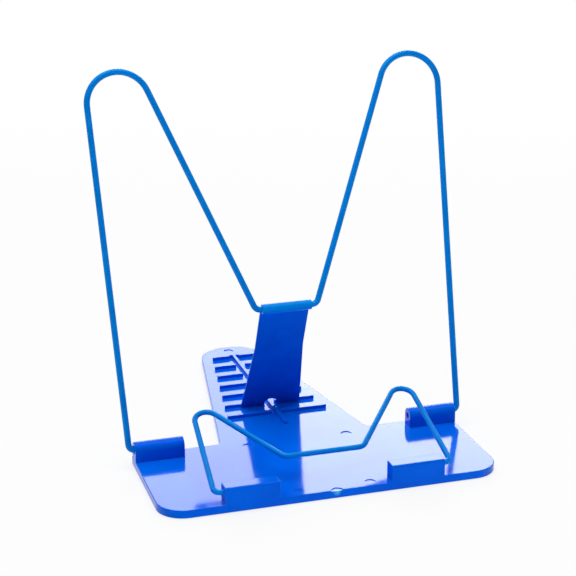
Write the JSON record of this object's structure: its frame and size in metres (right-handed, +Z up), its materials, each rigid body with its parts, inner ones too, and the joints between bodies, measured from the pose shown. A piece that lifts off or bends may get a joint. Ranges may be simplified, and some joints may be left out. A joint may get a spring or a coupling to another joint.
{
  "type": "book stand",
  "caption": "Book stand with a moulded T-shaped base, a looped wire back frame propped in grooves by a hinged plate, and a hinged wire page holder.",
  "frame": {"origin": "on the underside of the base, in the middle plane, directly below the back frame's hinge axis", "axes": "+X across the stand to the reader's right, +Y away from the reader along the tongue, +Z up"},
  "size_m": [0.2074, 0.2245, 0.2098],
  "materials": {
    "base_plastic": "glossy moulded plastic",
    "coated_wire": "glossy coat on steel wire",
    "coated_sheet": "satin coat on sheet steel"
  },
  "bodies": {
    "base": {"base": "base_plastic"},
    "frame": {"back_frame": "coated_wire"},
    "prop": {"prop_plate": "coated_sheet"},
    "holder": {"page_holder": "coated_wire"}
  },
  "joints": [
    {"name": "frame_tilt", "type": "hinge", "parent": "base", "child": "frame", "pos_m": [0, 0, 0.0106], "axis": [1, 0, 0], "range_deg": [0, 72]},
    {"name": "prop_swing", "type": "hinge", "parent": "frame", "child": "prop", "pos_m": [0, 0.02017, 0.0769], "axis": [1, 0, 0], "range_deg": [-36, 0]},
    {"name": "holder_swing", "type": "hinge", "parent": "base", "child": "holder", "pos_m": [0, -0.0655, 0.0102], "axis": [1, 0, 0], "range_deg": [-25.5, 160]}
  ],
  "couplings": [
    {"joint": "prop_swing", "follows": "frame_tilt", "ratio": -0.5}
  ]
}
